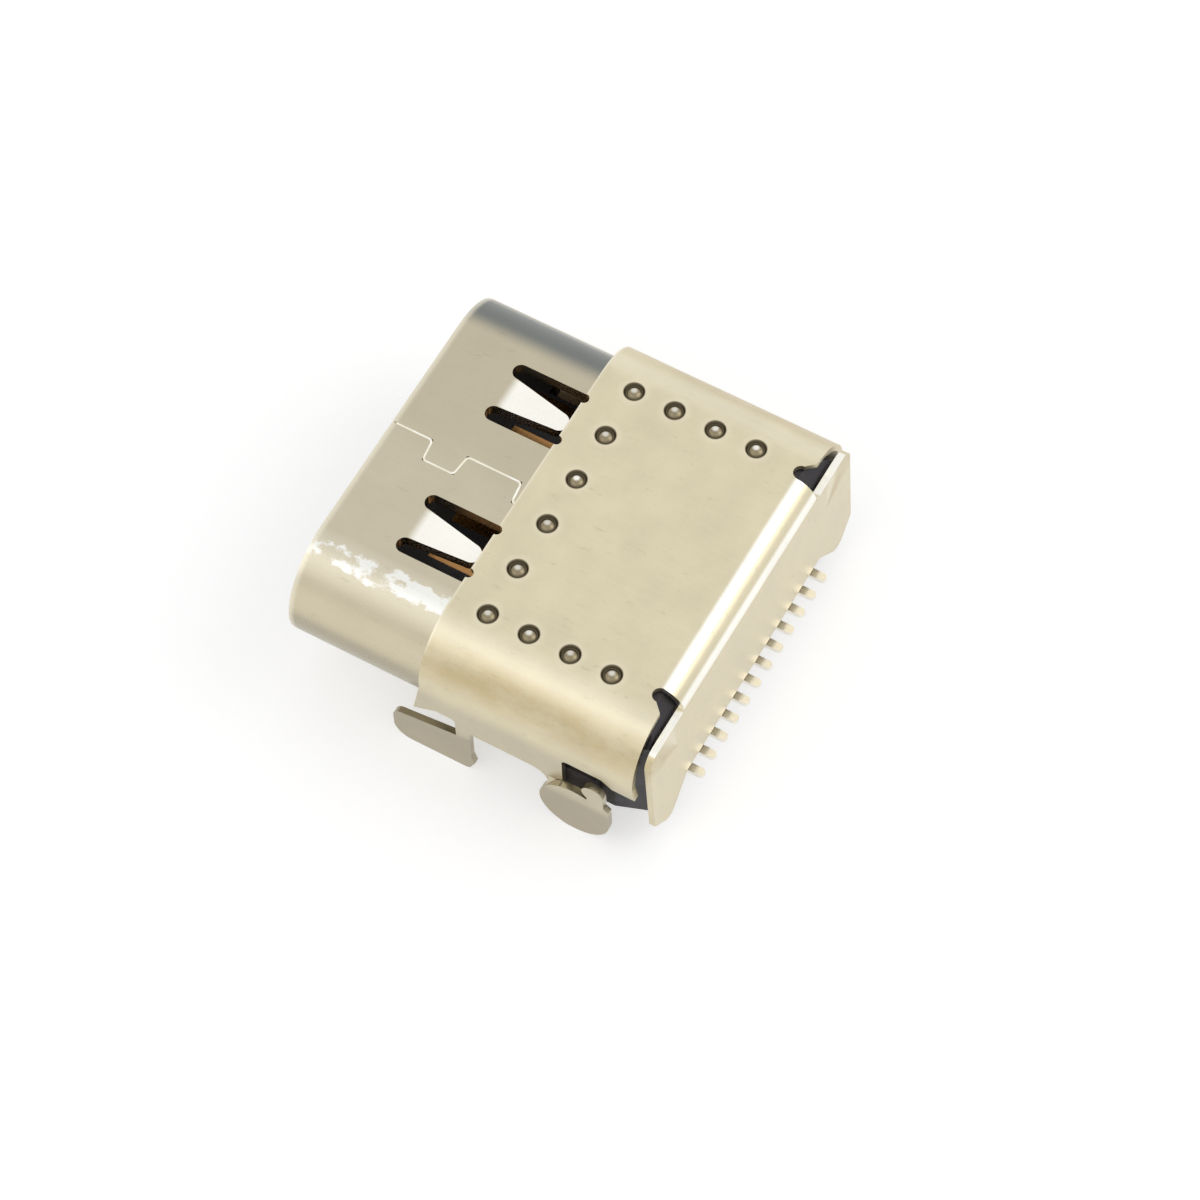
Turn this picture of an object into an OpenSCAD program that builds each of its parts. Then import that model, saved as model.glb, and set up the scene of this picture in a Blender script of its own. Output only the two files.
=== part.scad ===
// Type-C board socket with 24 contacts.
// Origin: middle of the mouth's front edge in X and Y, the board's surface in Z.
// The mouth opens towards -Y. The rear flap and the solder tails are at +Y.

/* [Mouth shell] */
// Width of the mouth opening
mouth_w = 8.34; // [7.8:0.02:10.2]
// Height of the mouth opening
mouth_h = 2.56; // [2.4:0.02:3.1]
// Thickness of the mouth shell's sheet
shell_t = 0.30; // [0.2:0.01:0.36]
// Length of the mouth shell, front to back
shell_len = 7.50; // [7.2:0.1:9.0]
// Depth of the mouth, front edge to back wall
mouth_depth = 6.20; // [6.0:0.05:6.6]
// Lead-in chamfer inside the front edge
lead_in = 0.10; // [0.04:0.01:0.15]
// Gap between the board and the underside of the mouth shell
standoff = 0.10; // [0.05:0.01:0.3]

/* [Seam] */
// Width of the open line where the rolled sheet meets itself
seam_gap = 0.04; // [0.02:0.01:0.08]
// Sideways place of the seam
seam_x = -0.06; // [-0.3:0.01:0.1]
// How far each key reaches sideways
key_reach = 0.52; // [0.3:0.01:0.6]
// Length of a key at its root
key_root = 0.88; // [0.6:0.01:1.0]
// Length of a key at its end
key_end = 0.76; // [0.4:0.01:0.9]
// Distance from the front edge to the first key
key_first = 1.00; // [0.6:0.01:1.3]
// Distance from one key to the next
key_pitch = 2.21; // [1.4:0.01:2.4]
// Number of keys along the seam
key_count = 3; // [1:1:3]

/* [Spring tabs] */
// Distance between the middles of the two tabs
tab_spacing = 3.76; // [3.4:0.02:4.0]
// Width of the window that each tab is cut in
window_w = 1.58; // [1.4:0.02:1.7]
// Distance from the front edge to the window
window_front = 1.62; // [1.2:0.02:2.0]
// Length of the window
window_len = 1.96; // [1.8:0.02:2.2]
// Width of a tab at its root
tab_root_w = 0.82; // [0.6:0.02:0.9]
// Width of a tab at its free end
tab_tip_w = 0.46; // [0.3:0.02:0.6]
// Length of a tab
tab_len = 1.52; // [1.2:0.02:1.6]
// How far the free end is bent into the mouth
tab_drop = 0.20; // [0.1:0.01:0.3]

/* [Cover shell] */
// Thickness of the cover's sheet
cover_t = 0.15; // [0.1:0.01:0.2]
// Distance from the mouth's front edge to the cover's front edge
cover_front = 3.38; // [3.0:0.02:3.5]
// Gap between the mouth shell and each side wall of the cover
side_gap = 0.06; // [0.03:0.01:0.12]
// Outer radius of the cover's top corners
corner_r = 1.40; // [1.2:0.01:1.5]
// Length from the mouth's front edge to the back of the flap
body_len = 8.87; // [8.6:0.01:10.6]
// Gap between the rear edge of the side walls and the flap
flap_slit = 0.15; // [0.08:0.01:0.25]
// Height of the side walls' lower edge above the board
wall_base = 0.82; // [0.6:0.01:1.0]
// Radius of the two small front notches beside each tab
edge_notch_r = 0.12; // [0.08:0.01:0.15]

/* [Weld spots] */
// Diameter of a weld spot
weld_d = 0.48; // [0.3:0.01:0.6]
// Depth of the sunk ring round a weld spot's bead
weld_depth = 0.055; // [0.03:0.005:0.07]
// Distance from the cover's front edge to the first row
weld_first = 0.87; // [0.6:0.01:1.1]
// Distance between spots along the sides
weld_pitch = 1.00; // [0.8:0.01:1.1]
// Number of spots along each side
weld_rows = 4; // [2:1:4]
// Number of spots across the front row
weld_across = 6; // [4:2:6]

/* [Rear flap] */
// Outer radius of the bend between top and flap
bend_r = 0.60; // [0.4:0.01:0.8]
// Width of the bend between its two relief notches
bend_w = 5.84; // [5.0:0.02:6.2]
// Width of the flap
flap_w = 8.84; // [8.4:0.02:9.2]
// Height of the flap's two ears above the board
ear_top = 2.95; // [2.85:0.01:3.1]
// Corner radius of the ears
ear_r = 0.40; // [0.2:0.01:0.6]
// How many degrees the flap stands open
flap_lean = 2.2; // [0.5:0.1:4]
// Height of the flap's lower edge above the board, over the tails
flap_base = 0.40; // [0.25:0.01:0.5]
// Radius of the flap's two feet
foot_r = 0.30; // [0.2:0.01:0.4]
// Distance between the middles of the two feet
foot_spacing = 7.60; // [7.4:0.02:7.7]
// How far the feet reach below the board's surface
foot_depth = 0.30; // [0.1:0.01:0.6]

/* [Board legs] */
// How far the four legs reach below the board's surface
leg_depth = 0.80; // [0.7:0.01:1.6]
// Distance from the mouth's front edge to the front leg
front_leg_y = 2.62; // [2.4:0.01:2.9]
// Length of the front leg's blade
front_leg_len = 1.94; // [1.8:0.01:2.1]
// Distance from the mouth's front edge to the rear leg
rear_leg_y = 6.59; // [6.45:0.01:6.65]
// Length of the rear leg's blade
rear_leg_len = 1.47; // [1.4:0.01:1.55]
// Width of the strap that carries each leg
strap_w = 0.34; // [0.3:0.01:0.4]
// Height of the slit between a side wall and a leg's blade
leg_slit = 0.34; // [0.25:0.01:0.5]
// How far the rear legs are stepped outwards
leg_step = 0.16; // [0.1:0.01:0.2]

/* [Tongue] */
// Distance from the mouth's front edge to the tongue's nose
tongue_front = 0.90; // [0.7:0.01:1.2]
// Thickness of the tongue
tongue_t = 0.70; // [0.58:0.01:0.84]
// Length of the tongue in front of its thick root
tongue_len = 4.45; // [4.2:0.01:4.6]
// Thickness of the root, with its two ground plates
root_t = 1.24; // [1.1:0.01:1.4]
// Plastic outside the first and last contact
tongue_edge = 0.47; // [0.35:0.01:0.55]
// Length of the moulded nose
nose_len = 0.35; // [0.3:0.01:0.45]
// Depth of the latch notch in each side
notch_depth = 0.32; // [0.2:0.01:0.4]
// Length of the latch notch
notch_len = 0.85; // [0.6:0.01:1.0]
// Thickness of the steel plate in the middle
plate_t = 0.15; // [0.1:0.01:0.2]
// Thickness of the two ground plates
ground_t = 0.12; // [0.08:0.01:0.15]

/* [Contacts] */
// Contacts in each row
contact_count = 12; // [12:1:12]
// Distance from one contact to the next
pitch = 0.50; // [0.4:0.01:0.6]
// Width of a contact on the tongue
contact_w = 0.25; // [0.2:0.01:0.28]
// Thickness of a contact
contact_t = 0.12; // [0.08:0.01:0.13]
// Width of a tail or pin
tail_w = 0.20; // [0.15:0.01:0.24]
// Inner radius of a contact's bends
contact_bend = 0.13; // [0.08:0.01:0.16]
// How far the tails stand out behind the flap
tail_reach = 0.38; // [0.2:0.01:0.6]
// How far the through-board pins reach below the board's surface
pin_depth = 0.70; // [0.5:0.01:0.75]
// Distance between the two staggered rows of pins
pin_row_gap = 0.70; // [0.6:0.01:0.8]

/* [Fits] */
// Clearance between mouldings and the sheet-metal shells
fit = 0.03; // [0.01:0.005:0.05]

/* [Hidden] */
ROWS = ["a", "b"];
CONTACTS = [for (r = ROWS, i = [1:contact_count]) str("contact_", r, i)];
$fn = 64;
eps = 0.01;
far = 20;

// Mouth shell
mouth_r = mouth_h / 2;
mouth_z = standoff + shell_t + mouth_r;
shell_w = mouth_w + 2 * shell_t;
shell_h = mouth_h + 2 * shell_t;
flat_half = (mouth_w - mouth_h) / 2;
shell_top = standoff + shell_h;
slot_r = (window_w - tab_root_w) / 4;
tab_root_y = window_front + slot_r;
tab_angle = asin(tab_drop / tab_len);

// Cover shell
cover_half = shell_w / 2 + side_gap + cover_t;
cover_top = shell_top + cover_t;
arch_base = cover_top - corner_r;
wall_top = arch_base - 0.10;
flap_front = body_len - cover_t;
wall_back = flap_front - flap_slit;
bend_y = body_len - bend_r;
bend_z = cover_top - bend_r;
relief_r = 0.17;
relief_w = 0.55;
weld_half = cover_half - corner_r - 0.13;
weld_y = cover_front + weld_first;

// Side walls and legs
wall_toe = 0.20;
wall_heel = 0.17;
wall_base_rear = 1.52;
strap_fillet = 0.40;
slit_r = 0.12;
front_slit_top = wall_base + 0.30;
front_blade_top = front_slit_top - leg_slit - 0.30;
rear_slit_top = wall_base_rear + 0.20;
rear_blade_top = wall_base - 0.32;
front_strap_y = front_leg_y + front_leg_len - strap_w;
rear_strap_y = rear_leg_y - 0.07;
rear_strap_back = rear_strap_y + strap_w;
barb = 0.08;

// Tongue and inserts
tongue_w = (contact_count - 1) * pitch + contact_w + 2 * tongue_edge;
tongue_top = mouth_z + tongue_t / 2;
tongue_base = mouth_z - tongue_t / 2;
root_y = tongue_front + tongue_len;
root_half = root_t / 2 - ground_t;
insert_back = wall_back - 0.50;
block_w = tongue_w + 0.20;
block_half = root_half + 0.25;
notch_y = tongue_front + 1.35;
notch_shy = 0.06;

// Contacts
bend_out = contact_bend + contact_t;
drop_back = insert_back + 0.25;
tail_end = body_len + tail_reach;
pad_front_long = tongue_front + 0.55;
pad_front_short = tongue_front + 1.05;
pin_y = mouth_depth + 0.75;
housing_half = cover_half - cover_t - 0.23;
pin_bay = (contact_count - 1) * pitch / 2 + 0.45;
tail_bay = (contact_count - 1) * pitch / 2 + 0.35;

// Helpers

// Extrudes an outline drawn in XZ from y0 to y1
module along_y(y0, y1) {
    translate([0, y1, 0]) rotate([90, 0, 0]) linear_extrude(y1 - y0) children();
}

// Extrudes an outline drawn in YZ from x0 to x1
module along_x(x0, x1) {
    translate([x0, 0, 0]) rotate([90, 0, 90]) linear_extrude(x1 - x0) children();
}

// The same piece on both sides of the middle
module both_sides() {
    children();
    mirror([1, 0, 0]) children();
}

// A rectangle given by two opposite corners
module rect(a, b) {
    translate(a) square(b - a);
}

// Flat top and bottom with half-round ends, centred on the mouth
module stadium(w, h) {
    translate([0, mouth_z]) {
        square([w - h, h], center = true);
        for (s = [-1, 1]) translate([s * (w - h) / 2, 0]) circle(h / 2);
    }
}

// Straight sides and rounded top corners, cut level at the base
module arch(half, top, r, base) intersection() {
    union() {
        rect([-half, base], [half, top - r]);
        rect([r - half, base], [half - r, top]);
        for (s = [-1, 1]) translate([s * (half - r), top - r]) circle(r);
    }
    rect([-far, base], [far, far]);
}

// Quarter ring in the corner named by the signs sy and sz
module quarter_bend(centre, r_in, r_out, sy, sz) {
    translate(centre) intersection() {
        difference() {
            circle(r_out);
            circle(r_in);
        }
        rect([min(0, sy * r_out), min(0, sz * r_out)], [max(0, sy * r_out), max(0, sz * r_out)]);
    }
}

// Mouth shell

// Outline of one spring tab, its root on the X axis
module tab_outline() {
    tip = tab_len - tab_tip_w / 2;
    polygon([[-tab_root_w / 2, 0], [tab_root_w / 2, 0], [tab_tip_w / 2, tip], [-tab_tip_w / 2, tip]]);
    translate([0, tip]) circle(tab_tip_w / 2);
}

// What is punched out round one tab, its root on the X axis
module tab_window() {
    for (s = [-1, 1]) translate([s * (window_w / 2 - slot_r), 0]) circle(slot_r);
    difference() {
        rect([-window_w / 2, 0], [window_w / 2, window_len - slot_r]);
        tab_outline();
    }
}

module tab_cutouts() {
    for (s = [-1, 1]) translate([s * tab_spacing / 2, tab_root_y, shell_top - shell_t - eps])
        linear_extrude(shell_t + 2 * eps) tab_window();
    // the flat tab is taken out too, and comes back bent
    for (s = [-1, 1]) translate([s * tab_spacing / 2, tab_root_y, shell_top - shell_t - eps])
        linear_extrude(shell_t + 2 * eps) tab_outline();
}

module bent_tabs() {
    for (s = [-1, 1]) translate([s * tab_spacing / 2, tab_root_y, shell_top])
        rotate([-tab_angle, 0, 0]) translate([0, 0, -shell_t]) linear_extrude(shell_t) tab_outline();
}

// Mirrors the top of the mouth shell to its underside
module top_and_bottom() {
    children();
    translate([0, 0, 2 * mouth_z]) mirror([0, 0, 1]) children();
}

// One straight stretch of the seam with round ends
module seam_line(a, b) {
    d = b - a;
    translate(a) rotate(atan2(d.y, d.x)) rect([0, -seam_gap / 2], [norm(d), seam_gap / 2]);
    translate(a) circle(seam_gap / 2);
    translate(b) circle(seam_gap / 2);
}

// The seam runs back in steps: straight, out round a tapered key, and straight again
module seam() {
    taper = (key_root - key_end) / 2;
    key_points = [for (k = [0:key_count - 1]) let (y = key_first + k * key_pitch)
        each [[seam_x, y], [seam_x + key_reach, y + taper],
              [seam_x + key_reach, y + key_root - taper], [seam_x, y + key_root]]];
    route = concat([[seam_x, -eps]], key_points, [[seam_x, shell_len + eps]]);
    translate([0, 0, mouth_z + mouth_r - eps]) linear_extrude(shell_t + 2 * eps)
        for (i = [0:len(route) - 2]) seam_line(route[i], route[i + 1]);
}

// Lead-in chamfer round the inside of the front edge
module mouth_flare() {
    r = mouth_r + lead_in;
    for (s = [-1, 1]) translate([s * flat_half, -eps, mouth_z]) rotate([-90, 0, 0])
        cylinder(h = lead_in + eps, r1 = r + eps, r2 = mouth_r);
    along_x(-flat_half, flat_half) polygon([
        [-eps, mouth_z - r - eps], [lead_in, mouth_z - mouth_r],
        [lead_in, mouth_z + mouth_r], [-eps, mouth_z + r + eps]]);
}

module mouth_shell() color([0.78, 0.75, 0.66]) {
    difference() {
        along_y(0, shell_len) stadium(shell_w, shell_h);
        along_y(-eps, shell_len + eps) stadium(mouth_w, mouth_h);
        mouth_flare();
        seam();
        top_and_bottom() tab_cutouts();
        // bay under the rear end for the through-board pins
        translate([-pin_bay, mouth_depth + 0.2, 0]) cube([2 * pin_bay, far, mouth_z]);
    }
    top_and_bottom() bent_tabs();
}

// Cover shell

// Relief notch in the top beside the end of the bend, on the +X side
module bend_relief() {
    x = bend_w / 2;
    y = bend_y - 0.07;
    translate([x + relief_r, y + relief_r]) circle(relief_r);
    polygon([[x, y + relief_r], [x + 2 * relief_r, y + relief_r], [x + relief_w, wall_back + eps],
             [x, wall_back + eps]]);
}

// Sunk ring of one weld spot, cut round a domed bead that is level with the top
module weld_ring() {
    bead_r = weld_d * 0.33;
    dome_r = (bead_r * bead_r + weld_depth * weld_depth) / (2 * weld_depth);
    difference() {
        translate([0, 0, -weld_depth]) cylinder(h = weld_depth + eps, r1 = weld_d * 0.40, r2 = weld_d / 2);
        translate([0, 0, -dome_r]) sphere(dome_r);
    }
}

module weld_rings() {
    for (k = [0:weld_rows - 1], s = [-1, 1])
        translate([s * weld_half, weld_y + k * weld_pitch, cover_top]) weld_ring();
    step = 2 * weld_half / (weld_across - 1);
    for (k = [1:weld_across - 2])
        translate([k * step - weld_half, weld_y, cover_top]) weld_ring();
}

// Small half-round notches in the front edge beside each tab
module edge_notches() {
    x = tab_spacing / 2;
    for (s = [-1, 1], e = [-1, 1])
        translate([s * x + e * (window_w / 2 - slot_r), cover_front, cover_top - cover_t - eps])
            cylinder(h = cover_t + 2 * eps, r = edge_notch_r);
}

// Folded top of the cover, down to where the side walls run straight
module cover_roof() {
    difference() {
        along_y(cover_front, wall_back) difference() {
            arch(cover_half, cover_top, corner_r, wall_top);
            arch(cover_half - cover_t, cover_top - cover_t, corner_r - cover_t, wall_top - eps);
        }
        translate([0, 0, arch_base]) linear_extrude(far) both_sides() bend_relief();
        translate([-bend_w / 2, bend_y, arch_base]) cube([bend_w, far, far]);
        weld_rings();
        edge_notches();
    }
}

// Side wall outline in YZ, below the folded top
module wall_outline() {
    difference() {
        union() {
            rect([cover_front, wall_base], [wall_back, wall_top]);
            // the front edge leans forward towards the leg
            polygon([[cover_front + eps, wall_top], [cover_front, wall_top],
                     [cover_front - wall_toe, wall_base], [cover_front + eps, wall_base]]);
            // the rear edge leans back towards the flap
            polygon([[wall_back - eps, wall_top], [wall_back, wall_top],
                     [wall_back + wall_heel, wall_base], [wall_back - eps, wall_base]]);
        }
        // arched slit over the front blade
        polygon([[cover_front - wall_toe - eps, wall_base - eps], [cover_front - wall_toe, wall_base],
                 [cover_front + 0.37, front_slit_top], [front_strap_y - slit_r, front_slit_top],
                 [front_strap_y, front_slit_top - slit_r], [front_strap_y, wall_base - eps]]);
        translate([front_strap_y - slit_r, front_slit_top - slit_r]) circle(slit_r);
        // the rear part of the wall stops higher, over the rear blade
        polygon([[rear_strap_back, wall_base - eps], [rear_strap_back, rear_slit_top - slit_r],
                 [rear_strap_back + slit_r, rear_slit_top],
                 [rear_leg_y + rear_leg_len - 0.25, rear_slit_top],
                 [rear_leg_y + rear_leg_len + 0.02, wall_base_rear],
                 [wall_back + 1, wall_base_rear], [wall_back + 1, wall_base - eps]]);
        translate([rear_strap_back + slit_r, rear_slit_top - slit_r]) circle(slit_r);
    }
}

// Front leg in YZ: a strap, and a blade that reaches forward with a barb behind
module front_leg_outline() {
    y0 = front_leg_y;
    y1 = front_leg_y + front_leg_len;
    r_top = 0.28;
    r_low = 0.45;
    r_heel = 0.18;
    rect([front_strap_y, front_blade_top], [y1, wall_base]);
    polygon([[y0 + r_top, front_blade_top - 0.22], [front_strap_y, front_blade_top],
             [y1, front_blade_top], [y1, r_heel - leg_depth], [y1 - r_heel, -leg_depth],
             [y0 + r_low, -leg_depth], [y0, r_low - leg_depth], [y0, front_blade_top - 0.22 - r_top]]);
    translate([y0 + r_top, front_blade_top - 0.22 - r_top]) circle(r_top);
    translate([y0 + r_low, r_low - leg_depth]) circle(r_low);
    translate([y1 - r_heel, r_heel - leg_depth]) circle(r_heel);
    polygon([[y1 - eps, 0.60 - leg_depth], [y1 + barb, 0.32 - leg_depth],
             [y1 - 0.02, 0.12 - leg_depth], [y1 - 0.10, 0.60 - leg_depth]]);
}

// Web that runs from the wall's lower edge into the front of the rear strap
module strap_fillet_outline() {
    r = strap_fillet;
    difference() {
        rect([rear_strap_y - r, wall_base - r], [rear_strap_back, wall_base + eps]);
        translate([rear_strap_y - r - eps, wall_base - r - eps]) circle(r);
    }
}

// Rear leg in YZ: a D-shaped blade with a rounded hook at its back
module rear_blade_outline() {
    y0 = rear_leg_y;
    y1 = rear_leg_y + rear_leg_len;
    r_front = 0.55;
    r_back = 0.85;
    r_hook = 0.26;
    hook_top = rear_blade_top + 0.92;
    hook_y = rear_strap_back + 0.68;
    hook_back = y1 - 0.12;
    polygon([[y0, rear_blade_top - 0.12], [y0 + 0.08, rear_blade_top],
             [rear_strap_back, rear_blade_top + 0.35], [hook_y, rear_blade_top + 0.05],
             [hook_y, hook_top - 0.12], [hook_y + 0.10, hook_top], [hook_back - r_hook, hook_top],
             [hook_back, hook_top - r_hook], [hook_back, rear_blade_top + 0.25],
             [y1, rear_blade_top + 0.15], [y1, r_back - leg_depth], [y1 - r_back, -leg_depth],
             [y0 + r_front, -leg_depth], [y0, r_front - leg_depth]]);
    translate([y0 + r_front, r_front - leg_depth]) circle(r_front);
    translate([y1 - r_back, r_back - leg_depth]) circle(r_back);
    translate([hook_back - r_hook, hook_top - r_hook]) circle(r_hook);
}

// One side wall with its two legs, on the +X side
module cover_side() {
    x1 = cover_half;
    x0 = x1 - cover_t;
    along_x(x0, x1) {
        wall_outline();
        front_leg_outline();
        strap_fillet_outline();
    }
    along_x(x0 + leg_step, x1 + leg_step) rear_blade_outline();
    // the strap steps outwards to the rear blade
    top = wall_base - strap_fillet;
    along_y(rear_strap_y, rear_strap_back) polygon([
        [x0, top], [x0, top + 0.15], [x1, top + 0.30], [x1 + leg_step, top + 0.12],
        [x1 + leg_step, top - 0.15], [x0 + leg_step, top - 0.15]]);
}

// Flap outline in XZ, with rounded ears and two feet
module flap_outline() {
    half = flap_w / 2;
    cx = foot_spacing / 2;
    cz = foot_r - foot_depth;
    k = foot_r * sin(45);
    inner = flap_base - cz + k;
    rect([-bend_w / 2, flap_base], [bend_w / 2, bend_z]);
    both_sides() {
        polygon([[bend_w / 2 - eps, flap_base], [bend_w / 2 - eps, bend_z], [bend_w / 2, bend_z],
                 [bend_w / 2, ear_top], [half - ear_r, ear_top], [half, ear_top - ear_r],
                 [half, cz - k + half - cx - k], [cx + k, cz - k], [cx, cz - foot_r / 2],
                 [cx - k, cz - k], [cx - k - inner, flap_base]]);
        translate([half - ear_r, ear_top - ear_r]) circle(ear_r);
        translate([cx, cz]) circle(foot_r);
    }
}

// The flap hangs from the bend and stands a little open at its foot
module rear_flap() {
    translate([0, bend_y, bend_z]) rotate([flap_lean, 0, 0]) translate([0, -bend_y, -bend_z])
        along_y(flap_front, body_len) flap_outline();
    along_x(-bend_w / 2, bend_w / 2) translate([bend_y, bend_z]) intersection() {
        difference() {
            circle(bend_r);
            circle(bend_r - cover_t);
        }
        polygon([[0, 0], [far * cos(flap_lean), far * sin(flap_lean)], [far, far], [0, far]]);
    }
}

module cover_shell() color([0.80, 0.77, 0.67]) {
    cover_roof();
    both_sides() cover_side();
    rear_flap();
}

// Contacts

// Sideways place of contact i: row a counts from -X, row b from +X
function contact_x(row, i) = (row == "a" ? 1 : -1) * (i - (contact_count + 1) / 2) * pitch;
// Ground and supply contacts reach further forward than signal contacts
function pad_front(i) = (i == 1 || i == 4 || i == contact_count - 3 || i == contact_count)
    ? pad_front_long : pad_front_short;
// Neighbouring pins stand in different rows
function pin_back(i) = pin_y + (i % 2) * pin_row_gap;

// Upper contact: on top of the tongue, down behind the inserts and out as a flat tail
module contact_a(i) color([0.86, 0.84, 0.78]) {
    x = contact_x("a", i);
    z1 = tongue_top;
    z0 = z1 - contact_t;
    along_x(x - contact_w / 2, x + contact_w / 2) rect([pad_front(i), z0], [root_y, z1]);
    along_x(x - tail_w / 2, x + tail_w / 2) {
        rect([root_y, z0], [drop_back - bend_out, z1]);
        quarter_bend([drop_back - bend_out, z1 - bend_out], contact_bend, bend_out, 1, 1);
        rect([drop_back - contact_t, bend_out], [drop_back, z1 - bend_out]);
        quarter_bend([drop_back + contact_bend, bend_out], contact_bend, bend_out, -1, -1);
        rect([drop_back + contact_bend, 0], [tail_end - tail_w / 2, contact_t]);
    }
    translate([x, tail_end - tail_w / 2, 0]) cylinder(h = contact_t, r = tail_w / 2);
}

// Lower contact: under the tongue and down through the board as a pin
module contact_b(i) color([0.86, 0.84, 0.78]) {
    x = contact_x("b", i);
    z0 = tongue_base;
    z1 = z0 + contact_t;
    y1 = pin_back(i);
    tip = 0.08;
    along_x(x - contact_w / 2, x + contact_w / 2) rect([pad_front(i), z0], [root_y, z1]);
    along_x(x - tail_w / 2, x + tail_w / 2) {
        rect([root_y, z0], [y1 - bend_out, z1]);
        quarter_bend([y1 - bend_out, z1 - bend_out], contact_bend, bend_out, 1, 1);
        polygon([[y1 - contact_t, z1 - bend_out], [y1, z1 - bend_out], [y1, tip - pin_depth],
                 [y1 - contact_t / 3, -pin_depth], [y1 - 2 * contact_t / 3, -pin_depth],
                 [y1 - contact_t, tip - pin_depth]]);
    }
}

// Tongue

// Latch notches in the tongue's sides, deeper by shy
module latch_notches(shy) {
    both_sides() rect([tongue_w / 2 - notch_depth - shy, notch_y - shy],
                      [tongue_w / 2 + 1, notch_y + notch_len + shy]);
}

// Half of the tongue with its root and rear block, for the upper row
module insert_body() {
    z0 = mouth_z + plate_t / 2;
    difference() {
        union() {
            translate([-tongue_w / 2, tongue_front + nose_len, z0])
                cube([tongue_w, root_y - tongue_front - nose_len + eps, tongue_top - z0]);
            translate([-tongue_w / 2, root_y, z0])
                cube([tongue_w, mouth_depth - root_y + eps, mouth_z + root_half - z0]);
            translate([-block_w / 2, mouth_depth, z0])
                cube([block_w, insert_back - mouth_depth, mouth_z + block_half - z0]);
        }
        translate([0, 0, z0 - eps]) linear_extrude(tongue_t) latch_notches(notch_shy);
    }
}

module upper_insert() color([0.13, 0.13, 0.14]) difference() {
    insert_body();
    for (i = [1:contact_count]) contact_a(i);
}

module lower_insert() color([0.13, 0.13, 0.14]) difference() {
    translate([0, 0, 2 * mouth_z]) mirror([0, 0, 1]) insert_body();
    for (i = [1:contact_count]) contact_b(i);
}

// Steel plate between the rows; its notched edges take the plug's side latches
module mid_plate() color([0.70, 0.70, 0.68]) {
    translate([0, 0, mouth_z - plate_t / 2]) linear_extrude(plate_t) {
        difference() {
            rect([-tongue_w / 2, tongue_front + nose_len / 2], [tongue_w / 2, mouth_depth]);
            latch_notches(0);
        }
        rect([-block_w / 2, mouth_depth], [block_w / 2, insert_back]);
    }
}

// Moulded nose with chamfered edges, over the front of the steel plate
module tongue_nose() color([0.13, 0.13, 0.14]) {
    y0 = tongue_front;
    y1 = tongue_front + nose_len;
    c = 0.16;
    side_c = 0.24;
    difference() {
        intersection() {
            along_x(-tongue_w / 2, tongue_w / 2) polygon([
                [y0, tongue_base + c], [y0 + c, tongue_base], [y1, tongue_base],
                [y1, tongue_top], [y0 + c, tongue_top], [y0, tongue_top - c]]);
            linear_extrude(far) polygon([
                [-tongue_w / 2, y0 + side_c], [side_c - tongue_w / 2, y0],
                [tongue_w / 2 - side_c, y0], [tongue_w / 2, y0 + side_c],
                [tongue_w / 2, y1], [-tongue_w / 2, y1]]);
        }
        mid_plate();
    }
}

// Ground plate folded over the front step of the thick root
module ground_plate() {
    z1 = mouth_z + root_t / 2;
    z0 = z1 - ground_t;
    lip_gap = 0.05;
    along_x(-tongue_w / 2 + 0.1, tongue_w / 2 - 0.1) {
        rect([root_y, z0], [mouth_depth, z1]);
        rect([root_y - ground_t, tongue_top + lip_gap], [root_y, z0]);
        translate([root_y, z0]) intersection() {
            circle(ground_t);
            rect([-1, 0], [0, 1]);
        }
    }
}

module ground_plate_top() color([0.74, 0.74, 0.72]) ground_plate();

module ground_plate_bottom() color([0.74, 0.74, 0.72])
    translate([0, 0, 2 * mouth_z]) mirror([0, 0, 1]) ground_plate();

// Rear housing

// Front plug of the housing that fits inside the mouth shell
module housing_plug() {
    along_y(mouth_depth, shell_len + fit) stadium(mouth_w - 2 * fit, mouth_h - 2 * fit);
}

// Block behind the mouth shell that stands on the board under the cover
module housing_block() {
    top = cover_top - cover_t - fit;
    back = flap_front - 0.08;
    bevel = bend_r / 2;
    difference() {
        along_y(shell_len + fit, back) arch(housing_half, top, corner_r - cover_t - 0.1, 0);
        // the rear corners are drawn in
        linear_extrude(far) both_sides() polygon([
            [housing_half + eps, back - 0.75], [housing_half + 1, back + 1],
            [housing_half - 0.26, back + 1], [housing_half - 0.26, back]]);
        // bevel that clears the inside of the bend
        along_x(-far, far) polygon([
            [back - bevel, top], [back - bevel, top + 1], [back + 1, top + 1],
            [back + 1, top - bevel], [back, top - bevel]]);
    }
}

// Cheeks that reach forward beside the mouth shell, under its rounded sides
module housing_cheeks() {
    x1 = cover_half - cover_t - fit;
    along_y(rear_strap_back - 0.10, shell_len + 2 * fit) difference() {
        both_sides() rect([x1 - 0.75, 0.30], [x1, mouth_z - 0.55]);
        stadium(shell_w + 2 * fit, shell_h + 2 * fit);
    }
}

// Foot of the housing in the bay where the pins go down
module pin_foot() {
    translate([-pin_bay + fit, mouth_depth + 0.2 + fit, 0])
        cube([2 * (pin_bay - fit), shell_len - mouth_depth - 0.2, mouth_z - mouth_r + 0.2]);
}

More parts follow.
